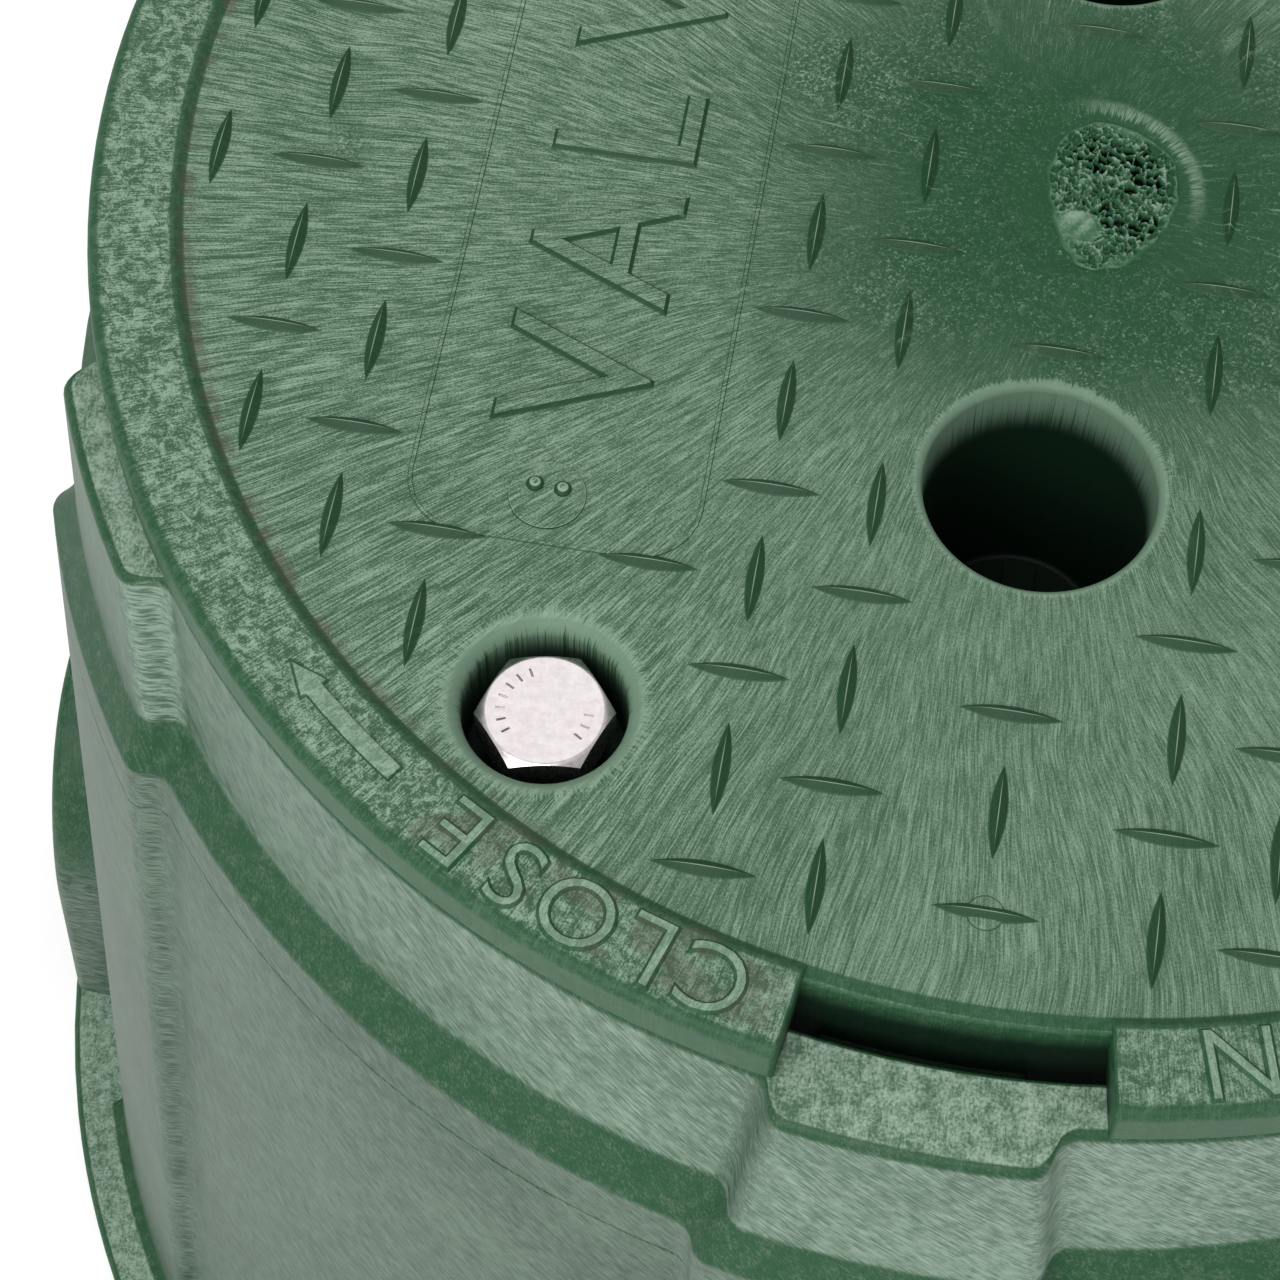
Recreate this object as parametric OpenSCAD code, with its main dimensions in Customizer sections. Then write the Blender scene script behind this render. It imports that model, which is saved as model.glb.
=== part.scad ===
/* [Cover] */
// Outside diameter of the raised ring round the cover
cover_d = 249.2; // [248:0.1:249.6]
// Diameter of the sunk tread panel inside the ring
panel_d = 225.4; // [222:0.2:227]
// Height of the ring above the panel
ring_rise = 1.4; // [0.8:0.1:2.5]
// Thickness of the panel
panel_t = 5.5; // [4.5:0.5:7]
// Outside diameter of the skirt that drops into the box
skirt_d = 229.4; // [228:0.2:230]
// How far the skirt reaches below the panel surface
skirt_depth = 30; // [24:1:34]
// Angle of the middle of the pry notch
notch_az = 269.1; // [265:0.1:272]
// Angle that the pry notch spans
notch_span = 17.2; // [12:0.2:20]

/* [Finger wells] */
// Distance of each well's centre from the cover's centre
well_offset = 44.9; // [40:0.1:50]
// Diameter of a well under its rounded mouth
well_d = 28.4; // [24:0.2:32]
// Diameter of a well at its floor
well_floor_d = 23.6; // [18:0.2:26]
// Depth of a well
well_depth = 36; // [20:1:38]

/* [Tread] */
// Spacing of the tread bars in both directions
tread_pitch = 12.7; // [10:0.1:16]
// Length of one tread bar from point to point
tread_len = 12.2; // [9:0.1:12.6]
// Width of one tread bar at its middle
tread_w = 2.1; // [1.2:0.1:3]
// Height of the tread bars
tread_h = 0.9; // [0.5:0.1:1.3]

/* [Box] */
// Height from the base to the panel surface of the closed cover
panel_z = 259; // [240:1:300]
// Depth of the rim's top below the panel surface
rim_drop = 6; // [6:0.5:8]
// Diameter of the mouth that the skirt enters
mouth_d = 235.8; // [235.6:0.1:236.4]
// Diameter of the base flange
base_d = 323; // [318:1:330]
// Thickness of the base flange
flange_t = 9; // [6:0.5:14]
// General wall thickness
wall_t = 5.5; // [4.5:0.25:6]
// Angle of the first column
column_az = 27.8; // [20:0.1:35]
// Width of a column at the rim
column_w = 30.4; // [26:0.2:34]
// Width of each pipe slot
slot_w = 62; // [50:1:70]
// Height of each pipe slot
slot_h = 82; // [60:1:95]

/* [Twist lock] */
// Angle that the cover turns from closed to open
lock_turn = 24; // [20:1:28]
// Angle that one lug spans
lug_span = 12; // [8:1:14]
// Radius that the lugs reach
lug_r = 120.9; // [119:0.1:121.2]

/* [Lock bolt] */
// Distance of the bolt from the cover's centre, X
bolt_x = -53.1; // [-55:0.1:-51]
// Distance of the bolt from the cover's centre, Y
bolt_y = -83.8; // [-86:0.1:-82]
// Hexagon head, across flats
head_af = 14.29; // [13:0.01:15]
// Height of the head
head_h = 6; // [5:0.1:7]
// Depth of the head's top below the panel surface
head_drop = 2.2; // [1:0.1:4]
// Diameter of the bolt's thread
bolt_d = 9.525; // [8:0.005:10]
// Length of the bolt under its head
bolt_len = 38.1; // [32:0.1:39]
// Depth of the recess that holds the head
recess_depth = 12.5; // [12.2:0.1:14]

/* [Hidden] */
$fn = 96;
eps = 0.01;

// Colours
green = [0.18, 0.36, 0.24];
brass = [0.72, 0.58, 0.30];
steel = [0.78, 0.74, 0.74];

// Cover
ring_drop = 5.7;          // underside of the ring, 0.3 above the rim
skirt_t = 4;
lug_top = 13;             // depth of a lug's top below the panel surface
lug_t = 6;
lug_count = 3;
rib_t = 3.5;
rib_count = 12;
rib_ring_r = 78;
hub_r = 16;
boss_r = 14.4;
boss_drop = 28;
well_wall_t = 2.9;
well_bar_size = [4, 8.6, 2];
recess_r = 9.6;
bolt_bore_r = 5.3;
rib_h = 13;
rib_end_h = 9.5;
rib_ring_h = 10;
gate_x = 1.5;
gate_r = 13.3;
gate_sink = 0.6;
plate_mid = [-57, 0];     // middle of the bare name plate
plate_size = [36, 127];
plate_line = 0.9;
plate_rise = 0.3;
mark_pos = [-57.8, -56.5];
mark_r = 4.7;
tread_limit_r = 111.5;    // no tread bar reaches past this radius
tread_free = 2;           // least room between a tread bar and a well or the small mark
gate_free = 1.5;          // and between a tread bar and the gate mark
recess_free_r = 12.5;     // no tread bar comes nearer than this to the lock bolt's axis

// Box, with depths counted down from the panel surface
rim_z = panel_z - rim_drop;
ledge_top = 36;
ledge_foot = 42;
trim = 1;                 // the walls run on past the rim by this, and are cut off level
column_count = 6;
wall_half_w = 21.8;       // half the width of a column beside the lower wall
ledge_half_w = 18.4;      // and at the top of the ledge
lip_t = 6;                // thickness of the rim's lip over the lug channel
channel_r = 122;
channel_foot = 26;
lug_play = 1.2;           // angle left free at each end of a lug
cut_r = 110;              // cutters of the inside start at this radius, in the open
slab_r = 100;             // slabs that shape or pierce the wall start at this radius
slab_l = 80;              // and run this far out, past the base flange
neck_core_span = 8.8;     // angles of the hollow behind a column
wall_core_span = 12.4;
flange_bevel = 1.5;
slot_arch_z = slot_h - slot_w / 2;
hood_t = 5.5;
hood_foot_r = 161.4;
hood_foot_z = 2;          // the hood stands this far off the ground
hood_h = 120;
hood_slope = 0.057;       // the hood's face leans in towards its crown

// Lock
head_turn = 10;           // angle of the hexagon at rest
head_chamfer = 1.3;       // chamfer on the head's corners, and its run per mm of depth
chamfer_slope = 1.6;
tip_l = 1.2;              // bevelled tip of the bolt
ring_z = panel_z - 39.6;
ring_t = 1.6;
ring_r = 8.6;
insert_r = 6.9;
insert_l = 12;
groove_z = [3.5, 8];      // heights of the grooves that hold the insert in the boss
groove_h = 1;
groove_depth = 0.6;
bore_gap = 0.08;
shelf_top = panel_z - 47.3;
shelf_t = 8;
shelf_half_w = 13;
shelf_r = 88;             // radius of the shelf's inner edge
lock_hole_r = 7;
gusset_t = 4;
gusset_h = 30;
gusset_r = shelf_r + 4;
bolt_r = norm([bolt_x, bolt_y]);
bolt_az = atan2(bolt_y, bolt_x);

// Radius of the box's outside at a depth, between the columns and on their faces
function neck_r(depth) = 124.0 + 0.075 * depth;
function neck_face_r(depth) = 129.0 + 0.075 * depth;
function wall_r(depth) = 128.1 + 0.083 * depth;
function wall_face_r(depth) = 131.9 + 0.083 * depth;

module around(count, first = 0) {
    for (i = [0 : count - 1]) rotate(first + i * 360 / count) children();
}

// A block of a ring between two radii and two heights, centred on +X
module sector(r1, r2, z1, z2, span) {
    rotate([0, 0, -span / 2])
        rotate_extrude(angle = span) translate([r1, z1]) square([r2 - r1, z2 - z1]);
}

module rounded_rectangle(size, r) {
    square([size.x - 2 * r, size.y], center = true);
    square([size.x, size.y - 2 * r], center = true);
    for (x = [-1, 1], y = [-1, 1])
        translate([x * (size.x / 2 - r), y * (size.y / 2 - r)]) circle(r, $fn = 32);
}

// Box: one moulding, whose hoods and lock shelf are nodes that meet the wall face to face

// Outline of the outer wall, from the axis out
function box_outline() = concat(
    [[0, 0], [base_d / 2, 0], [base_d / 2 - 0.2, flange_t - flange_bevel]],
    [[base_d / 2 - flange_bevel, flange_t]],
    [[wall_r(panel_z - flange_t) + 3, flange_t], [wall_r(panel_z - flange_t - 3), flange_t + 3]],
    [for (p = ledge_steps()) [wall_r(ledge_foot) - p.x, panel_z - p.y]],
    [[neck_r(rim_drop - trim), rim_z + trim], [0, rim_z + trim]]);

// The shoulder as steps of [inset from the lower wall, depth], from its foot to its top
function ledge_steps() = let (run = wall_r(ledge_foot) - neck_r(ledge_top)) [
    [0, ledge_foot + 1.6], [0.25, ledge_foot + 0.3], [1.0, ledge_foot - 0.9], [2.0, ledge_foot - 1.9],
    [run - 1.4, ledge_top + 2.0], [run - 0.4, ledge_top + 0.9], [run, ledge_top - 0.8]];

// A column: a slice of a larger box, as wide as its two stages
module column() {
    face_run = wall_face_r(ledge_foot) - neck_face_r(ledge_top);
    wall_run = wall_r(ledge_foot) - neck_r(ledge_top);
    sides = [[wall_half_w, 0], [wall_half_w, panel_z - ledge_foot], [ledge_half_w, panel_z - ledge_top],
        [column_w / 2, rim_z + 3 * trim]];
    intersection() {
        rotate(180) rotate_extrude() polygon(concat(
            [[0, flange_t / 2], [wall_face_r(panel_z - flange_t / 2), flange_t / 2]],
            [for (p = ledge_steps()) [wall_face_r(ledge_foot) - p.x * face_run / wall_run, panel_z - p.y]],
            [[neck_face_r(rim_drop - 2 * trim), rim_z + 2 * trim], [0, rim_z + 2 * trim]]));
        translate([slab_r, 0, 0]) rotate([90, 0, 90]) linear_extrude(slab_l)
            polygon(concat(sides, [for (k = [len(sides) - 1 : -1 : 0]) [-sides[k].x, sides[k].y]]));
    }
}

// The hood over a pipe slot: an arch that leans in with the wall and closes on it
module pipe_hood(az) {
    half_w = slot_w / 2 + hood_t;
    color(green) rotate(az) difference() {
        intersection() {
            union() {
                translate([slab_r, -half_w, hood_foot_z])
                    cube([slab_l, 2 * half_w, slot_arch_z - hood_foot_z]);
                translate([slab_r, 0, slot_arch_z]) rotate([0, 90, 0]) cylinder(r = half_w, h = slab_l);
            }
            rotate(180) cylinder(r1 = hood_foot_r, r2 = hood_foot_r - hood_slope * hood_h, h = hood_h);
        }
        slot_cut();
        rotate(180) rotate_extrude() polygon(box_outline());
    }
}

module pipe_hood_right() { pipe_hood(column_az - 30); }
module pipe_hood_left() { pipe_hood(column_az + 150); }

module slot_cut() {
    translate([slab_r, -slot_w / 2, -1]) cube([slab_l, slot_w, slot_arch_z + 1]);
    translate([slab_r, 0, slot_arch_z]) rotate([0, 90, 0]) cylinder(d = slot_w, h = slab_l);
}

// The room inside, and all that is above the rim
module box_cavity() {
    rotate_extrude() polygon([
        [0, -1], [wall_r(panel_z) - wall_t, -1],
        [wall_r(ledge_foot + 4) - wall_t, panel_z - ledge_foot - 4],
        [mouth_d / 2, panel_z - ledge_top - 1.5], [mouth_d / 2, rim_z], [base_d / 2, rim_z],
        [base_d / 2, panel_z], [0, panel_z]]);
}

// Hollow behind a column, open to the inside and closed by the tab at the rim
module column_core() {
    roof = rim_drop + lip_t + 1;
    knee = ledge_foot + 6;
    rotate(-neck_core_span / 2) rotate_extrude(angle = neck_core_span) polygon([
        [cut_r, panel_z - knee], [wall_face_r(knee) - wall_t - 3, panel_z - knee],
        [neck_face_r(roof) - wall_t, panel_z - roof], [cut_r, panel_z - roof]]);
    rotate(-wall_core_span / 2) rotate_extrude(angle = wall_core_span) polygon([
        [cut_r, -1], [wall_face_r(panel_z) - wall_t, -1],
        [wall_face_r(knee) - wall_t, panel_z - knee], [cut_r, panel_z - knee]]);
}

// Channel that a lug turns in, with the gap in the lip where it drops in
module lug_channel() {
    side = lug_span / 2 + lug_play;
    rotate(-side) rotate_extrude(angle = lock_turn + 2 * side + 0.3)
        translate([cut_r, panel_z - channel_foot])
            square([channel_r - cut_r, channel_foot - rim_drop - lip_t]);
    rotate(lock_turn) sector(cut_r + 2, channel_r - 0.2, rim_z - lip_t - 2, panel_z, 2 * side);
}

// Shelf inside the box with the hole that the bolt's tip drops into
module lock_shelf() {
    reach = wall_r(50) - 3;
    under = shelf_top - shelf_t;
    color(green) intersection() {
        rotate(bolt_az) difference() {
            union() {
                translate([shelf_r, -shelf_half_w, under])
                    cube([reach - shelf_r, 2 * shelf_half_w, shelf_t]);
                for (y = [-shelf_half_w, shelf_half_w - gusset_t])
                    translate([0, y + gusset_t, 0]) rotate([90, 0, 0]) linear_extrude(gusset_t)
                        polygon([[gusset_r, under], [reach + 1.5, under - gusset_h], [reach, shelf_top - 1],
                                 [gusset_r, shelf_top - 1]]);
            }
            translate([bolt_r, 0, under - 1]) cylinder(r = lock_hole_r, h = shelf_t + 2);
        }
        box_cavity();
    }
}

module box_body() {
    color(green) difference() {
        union() {
            rotate_extrude() polygon(box_outline());
            around(column_count, column_az) column();
        }
        box_cavity();
        around(column_count, column_az) column_core();
        around(2, column_az - 30) slot_cut();
        around(lug_count, column_az) lug_channel();
    }
}

// Cover

module cover_profile() {
    r = cover_d / 2;
    p = panel_d / 2;
    s = skirt_d / 2;
    polygon([
        [0, 0], [p - 0.6, 0], [p, 0.5], [p + 0.9, ring_rise - 0.2], [p + 1.9, ring_rise],
        [r - 2.2, ring_rise], [r - 1.0, ring_rise - 0.3], [r - 0.2, ring_rise - 1.2], [r, ring_rise - 2.4],
        [r, -ring_drop], [s, -ring_drop], [s, -skirt_depth + 1.5], [s - 1, -skirt_depth],
        [s - skirt_t + 0.5, -skirt_depth], [s - skirt_t, -panel_t], [0, -panel_t]]);
}

module well_wall() {
    translate([0, 0, -well_depth - 3])
        cylinder(d1 = well_floor_d + 2 * well_wall_t, d2 = well_d + 2 * well_wall_t, h = well_depth + 2);
}

module well_cut() {
    top = well_d / 2;
    rotate_extrude() polygon([
        [0, 2], [top + 1.4, 2], [top + 1.2, 0], [top + 0.4, -0.35], [top, -1.2],
        [well_floor_d / 2 + 0.8, -well_depth + 1], [well_floor_d / 2, -well_depth], [0, -well_depth]]);
}

// Small raised bar on the well's floor
module well_bar() { translate([-1.8, 1, -well_depth - 0.5]) cube(well_bar_size); }

module recess_cut() {
    rotate_extrude() polygon([
        [0, 2], [recess_r + 1.6, 2], [recess_r + 1.3, 0], [recess_r + 0.6, -0.5], [recess_r + 0.2, -1.6],
        [recess_r, -recess_depth], [bolt_bore_r, -recess_depth], [bolt_bore_r, -boss_drop + insert_l],
        [insert_r, -boss_drop + insert_l],
        [insert_r, -boss_drop - 1], [0, -boss_drop - 1]]);
}

module notch_cut() {
    sector(skirt_d / 2, cover_d / 2 + 2, -ring_drop - 1, ring_rise + 1, notch_span);
    sector(slab_r, cover_d / 2 + 2, 0, ring_rise + 1, notch_span);
}

module lug() { sector(skirt_d / 2 - 2, lug_r, -lug_top - lug_t, -lug_top, lug_span); }

module underside_ribs() {
    reach = skirt_d / 2 - hub_r - 1;
    around(rib_count, 15) translate([hub_r - 2, -rib_t / 2, -panel_t]) rotate([-90, 0, 0])
        linear_extrude(rib_t) polygon([[0, -1], [0, rib_h], [reach, rib_end_h], [reach, -1]]);
    rotate_extrude() translate([rib_ring_r - rib_t / 2, -panel_t - rib_ring_h])
        square([rib_t, rib_ring_h + 1]);
    translate([0, 0, -panel_t - rib_h]) cylinder(r = hub_r, h = rib_h + 1);
}

// Tread: a bar lies along X or along Y in turn, and the middle column is on the axis
function tread_x(k) = k == 0 ? 0 : sign(k) * (abs(k) + 0.5) * tread_pitch;
function tread_along_x(k, j) = (abs(k) + j) % 2 == 0;
function tread_reach(k, j) = let (
    x = abs(tread_x(k)), y = abs(j * tread_pitch), h = tread_len / 2)
    tread_along_x(k, j) ? norm([x + h, y]) : norm([x, y + h]);
// Least distance of a bar from a point
function tread_gap(k, j, p) = let (
    x = tread_x(k) - p.x, y = j * tread_pitch - p.y, h = tread_len / 2)
    tread_along_x(k, j) ? norm([max(abs(x) - h, 0), y]) : norm([x, max(abs(y) - h, 0)]);
function on_plate(k, j) = abs(tread_x(k) - plate_mid.x) < plate_size.x / 2
    && abs(j * tread_pitch) < plate_size.y / 2 - 3;
function tread_kept(k, j) = tread_reach(k, j) < tread_limit_r
    && tread_gap(k, j, [0, well_offset]) > well_d / 2 + tread_free
    && tread_gap(k, j, [0, -well_offset]) > well_d / 2 + tread_free
    && tread_gap(k, j, [gate_x, 0]) > gate_r + gate_free
    && tread_gap(k, j, [bolt_x, bolt_y]) > recess_free_r
    && tread_gap(k, j, mark_pos) > mark_r + tread_free
    && !on_plate(k, j);

module tread_bar() {
    bow = (pow(tread_len / 2, 2) - pow(tread_w / 2, 2)) / tread_w;
    linear_extrude(tread_h + 1) intersection() {
        translate([0, bow]) circle(bow + tread_w / 2);
        translate([0, -bow]) circle(bow + tread_w / 2);
    }
}

module tread() {
    for (k = [-8 : 8], j = [-8 : 8]) if (tread_kept(k, j))
        translate([tread_x(k), j * tread_pitch, -1]) rotate(tread_along_x(k, j) ? 0 : 90) tread_bar();
}

module plate_outline() {
    translate([plate_mid.x, plate_mid.y, -1]) linear_extrude(plate_rise + 1) difference() {
        rounded_rectangle(plate_size, 8);
        rounded_rectangle(plate_size - 2 * [plate_line, plate_line], 8 - plate_line);
    }
}

module cover() {
    color(green) translate([0, 0, panel_z]) {
        difference() {
            union() {
                difference() {
                    rotate_extrude() cover_profile();
                    rotate(notch_az) notch_cut();
                }
                around(lug_count, column_az) lug();
                underside_ribs();
                for (s = [-1, 1]) translate([0, s * well_offset, 0]) well_wall();
                translate([bolt_x, bolt_y, -boss_drop]) cylinder(r = boss_r, h = boss_drop - 1);
                tread();
                plate_outline();
                translate([mark_pos.x, mark_pos.y, -1]) cylinder(r = mark_r, h = 1 + plate_rise);
            }
            for (s = [-1, 1]) translate([0, s * well_offset, 0]) well_cut();
            translate([bolt_x, bolt_y, 0]) recess_cut();
            translate([gate_x, 0, -gate_sink])
                cylinder(r1 = gate_r - 2, r2 = gate_r + 1, h = gate_sink + 0.5);
        }
        for (s = [-1, 1]) translate([0, s * well_offset, 0]) well_bar();
    }
}

// Lock

module thread_insert() {
    color(brass) translate([bolt_x, bolt_y, panel_z - boss_drop]) difference() {
        cylinder(r = insert_r, h = insert_l);
        translate([0, 0, -1]) cylinder(r = bolt_d / 2 + bore_gap, h = insert_l + 2);
        for (z = groove_z) translate([0, 0, z]) difference() {
            cylinder(r = insert_r + 1, h = groove_h);
            translate([0, 0, -1]) cylinder(r = insert_r - groove_depth, h = groove_h + 2);
        }
    }
}

module retaining_ring() {
    color(steel) translate([bolt_x, bolt_y, ring_z]) difference() {
        cylinder(r = ring_r, h = ring_t);
        translate([0, 0, -1]) cylinder(r = bolt_d / 2 + bore_gap, h = ring_t + 2);
    }
}

module lock_bolt() {
    across = head_af / cos(30);
    color(steel) translate([bolt_x, bolt_y, panel_z - head_drop]) {
        intersection() {
            translate([0, 0, -head_h]) rotate(head_turn) cylinder(d = across, h = head_h, $fn = 6);
            translate([0, 0, -head_h]) cylinder(
                r1 = across / 2 - head_chamfer + head_h * chamfer_slope,
                r2 = across / 2 - head_chamfer, h = head_h);
        }
        translate([0, 0, -head_h - bolt_len + tip_l]) cylinder(d = bolt_d, h = bolt_len);
        translate([0, 0, -head_h - bolt_len])
            cylinder(d1 = bolt_d - 2 * tip_l, d2 = bolt_d, h = tip_l + eps);
    }
}

box_body();
pipe_hood_right();
pipe_hood_left();
lock_shelf();
cover();
thread_insert();
retaining_ring();
lock_bolt();
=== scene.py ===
"""A round valve box with its twist-lock cover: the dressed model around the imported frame."""
import math

import bmesh
import bpy
from mathutils import Matrix, Vector, noise


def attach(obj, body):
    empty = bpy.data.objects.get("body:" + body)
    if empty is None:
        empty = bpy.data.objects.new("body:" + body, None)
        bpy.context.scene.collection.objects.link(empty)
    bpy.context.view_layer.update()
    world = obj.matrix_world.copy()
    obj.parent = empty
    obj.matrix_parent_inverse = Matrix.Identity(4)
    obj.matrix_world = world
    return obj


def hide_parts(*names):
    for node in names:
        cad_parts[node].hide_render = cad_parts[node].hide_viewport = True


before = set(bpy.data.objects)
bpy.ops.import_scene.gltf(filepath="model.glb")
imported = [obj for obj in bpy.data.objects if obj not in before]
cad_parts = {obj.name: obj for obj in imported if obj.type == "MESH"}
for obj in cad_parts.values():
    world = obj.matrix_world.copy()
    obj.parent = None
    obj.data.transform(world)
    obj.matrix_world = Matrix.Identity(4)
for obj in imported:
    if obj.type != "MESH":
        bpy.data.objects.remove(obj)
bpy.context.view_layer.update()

MM = 0.001

# Heights and radii, in mm, with depths counted down from the cover's panel
PANEL_Z = 259.0
RIM_DROP = 6.0
LEDGE_TOP = 36.0
LEDGE_FOOT = 42.0
SEAM_DEPTH = 51.5  # the fine groove round the lower wall
SEAM_HALF = 0.3
SEAM_CUT = 0.22
FLANGE_R = 161.5
FLANGE_T = 9.0
WALL_T = 5.5
MOUTH_R = 117.9
HOLLOW_TOP = 12.6  # where the hollows behind the columns begin
INNER_LEDGE_TOP = 37.5
INNER_LEDGE_FOOT = 46.0
COLUMN_AZ = 27.8
COLUMNS = 6
WALL_HALF = 21.8  # half a column's width on the lower wall
COLUMN_STEP = 3.4  # how much narrower it is above the ledge
LEDGE_HALF = 18.4
COLUMN_TAPER = 3.0  # and how much more at the rim
HOOD_SIDES = (-30, 150)  # the hoods' angles from the first column
SLOT_R = 31.0
SLOT_Z = 51.0
HOOD_T = 5.5
HOOD_FOOT_R = 161.4
HOOD_LEAN = 0.057
HOOD_DRAW = 100.0  # the arch is drawn this far before its ends are set in place

# The lock: lugs in their channels, and the shelf under the bolt
LUGS = 3
LUG_R = 120.9
LUG_TOP = 13.0
LUG_FOOT = 19.0
LUG_HALF = 6.0  # half a lug's angle, and the play beside it
LUG_PLAY = 1.2
LOCK_TURN = 24.0
CHANNEL_CUT_R = 112.0
CHANNEL_R = 122.0
CHANNEL_TOP = 12.0
CHANNEL_FOOT = 26.0
SHELF_TOP = 47.3
SHELF_T = 8.0
SHELF_HALF = 13.0
SHELF_INNER_R = 88.0
SHELF_HOLE_R = 7.0
GUSSET_T = 4.0
GUSSET_DROP = 30.0

# The cover
COVER_R = 124.6
PANEL_R = 112.7
PANEL_T = 5.5
SKIRT_R = 114.7
SKIRT_T = 4.0
SKIRT_DEPTH = 30.0
RING_RISE = 0.93
RING_DROP = 5.7
RING_EDGE = 1.5
RING_END = 0.6
RING_SINK = 0.8  # the ring stands this deep in the panel, between these radii
RING_SEAT_R = 111.7
RING_SKIRT_R = 113.5
NOTCH_AZ = 269.1
NOTCH_SPAN = 17.2
WELL_Y = 44.9
WELL_R = 14.2
WELL_FLOOR_R = 11.8
WELL_DEPTH = 36.0
WELL_BAR = (4.0, 8.6, 2.0)
RECESS_R = 9.8
RECESS_FLOOR_R = 9.6
RECESS_DEPTH = 12.5
BOLT_HOLE_R = 5.3
BOSS_R = 14.4
BOSS_FOOT = 28.0
INSERT_R = 6.9
RIBS = 12
RIB_T = 3.5
RIB_ROOT = 4.5  # every rib starts at this depth, inside the panel
RIB_RING_R = 76.3
RIB_RING_FOOT = 15.5
HUB_R = 16.0
HUB_FOOT = 18.5
CUTTER_TOP = 3.0  # a cutter stands this far above the panel

# The lock bolt
BOLT_X = -53.1
BOLT_Y = -83.8
HEAD_TOP = PANEL_Z - 2.2
HEAD_H = 6.0
HEAD_AF = 14.29
HEAD_TURN = 40  # angle of the hexagon's first corner
HEAD_CONE = (17.35, 6.15)  # foot and top radius of the cone that chamfers the head
TICK_SIZE = (1.15, 0.3, 0.5)
TICK_R = 5.15
TICK_STEP = 17
TICK_RUNS = ((118, 7), (-32, 3))  # first angle of each run of ticks, and how many
BOLT_R = 4.7625
BOLT_LEN = 38.1
THREAD_PITCH = 25.4 / 16
THREAD_DEPTH = 1.05

# The gate and its torn foam
GATE_X = 1.5
GATE_R = 13.3
GATE_DEPTH = 0.62
FOAM_PLACE = (4.0, 0.1)  # middle of the torn foam at the gate
FOAM_HALF = (8.0, 11.2)  # half its width and depth
FOAM_SEED = 4  # noise_vector would take its offsets from the clock

# Raised detail on the panel and the ring
TREAD_PITCH = 12.7
TREAD_ROWS = 8  # rows at each side of the middle one
TREAD_LEN = 12.2
TREAD_W = 2.1
TREAD_H = 0.9
TREAD_LIMIT_R = 111.5
PLATE_X = -57.0
PLATE_SIZE = (36.0, 127.0)
PLATE_CORNER = 8
PLATE_LINE = 0.9
PLATE_RISE = 0.55
PLATE_WORD = "VALVE"
PLATE_LETTER = (19.2, PLATE_RISE, 0.46)  # height, rise and width of the slope
PLATE_LETTER_STEP = 19.4
MARK = (-57.8, -56.5)
MARK_R = 4.7
MARK_BUMPS = ((-1.7, 1.2), (1.7, 1.0))
RING_DETAIL_RISE = 0.45
RING_LETTER = (8.7, RING_DETAIL_RISE, 0.38)
RING_LETTER_R = 118.9
RING_WORDS = (("CLOSE", 256.1, -4.08), ("OPEN", 296.6, -4.08))  # word, first letter's angle, step
RING_ARROWS = ((234.9, 225.3), (301.9, 311.5))  # angle of tail and tip
ARROW_R = 118.0
ARROW_HALF = 1.25
BARB_HALF = 2.2
BARB_SPAN = 2.6  # angle that an arrow's head takes up
CAP_HEIGHT = 0.729  # of the font that Blender carries, as a share of its size
LETTER_BODY = 0.3


def neck_r(depth):
    return 124.0 + 0.075 * depth


def neck_face_r(depth):
    return 129.0 + 0.075 * depth


def wall_r(depth):
    return 128.1 + 0.083 * depth


def wall_face_r(depth):
    return 131.9 + 0.083 * depth


# Making and shaping


class Editing:
    """Edit mode on one piece, which starts with nothing selected, or with the whole piece."""

    def __init__(self, piece, mode="VERT", whole=False):
        self.piece = piece
        self.mode = mode
        self.start = "SELECT" if whole else "DESELECT"

    def __enter__(self):
        only(self.piece)
        bpy.ops.object.mode_set(mode="EDIT")
        bpy.ops.mesh.select_mode(type=self.mode)
        bpy.ops.mesh.select_all(action=self.start)
        return self

    def __exit__(self, *error):
        bpy.ops.object.mode_set(mode="OBJECT")

    def pick(self, test):
        """Selects the vertices, edges or faces whose middle, in mm, passes the test."""
        shape = bmesh.from_edit_mesh(self.piece.data)
        parts = {"VERT": shape.verts, "EDGE": shape.edges, "FACE": shape.faces}[self.mode]
        for part in parts:
            if self.mode == "VERT":
                middle = part.co
            elif self.mode == "EDGE":
                middle = (part.verts[0].co + part.verts[1].co) / 2
            else:
                middle = part.calc_center_median()
            part.select_set(test(middle / MM))
        shape.select_flush_mode()
        bmesh.update_edit_mesh(self.piece.data)


def only(piece):
    bpy.ops.object.select_all(action="DESELECT")
    piece.select_set(True)
    bpy.context.view_layer.objects.active = piece


def extrude(step):
    """Draws out what is selected by a step in metres."""
    bpy.ops.mesh.extrude_region_move(TRANSFORM_OT_translate={"value": step})


def round_edges(width, segments):
    """Bevels the selected edges, with a width in mm."""
    bpy.ops.mesh.bevel(offset=width * MM, segments=segments, affect="EDGES", clamp_overlap=False)


def polar(r, az, z):
    return r * math.cos(math.radians(az)), r * math.sin(math.radians(az)), z


def added(name):
    """The primitive that was just added, under its own name."""
    piece = bpy.context.object
    piece.name = piece.data.name = name
    return piece


def settle(piece):
    """Puts a piece's place, turn and size into its mesh."""
    only(piece)
    bpy.ops.object.transform_apply(location=True, rotation=True, scale=True)
    return piece


def turn(piece, degrees, axis=2):
    piece.rotation_euler[axis] += math.radians(degrees)
    return settle(piece)


def shift(piece, x=0.0, y=0.0, z=0.0):
    piece.location = Vector(piece.location) + Vector((x, y, z)) * MM
    return settle(piece)


def copied(piece, name):
    only(piece)
    bpy.ops.object.duplicate(linked=False)
    return added(name)


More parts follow.
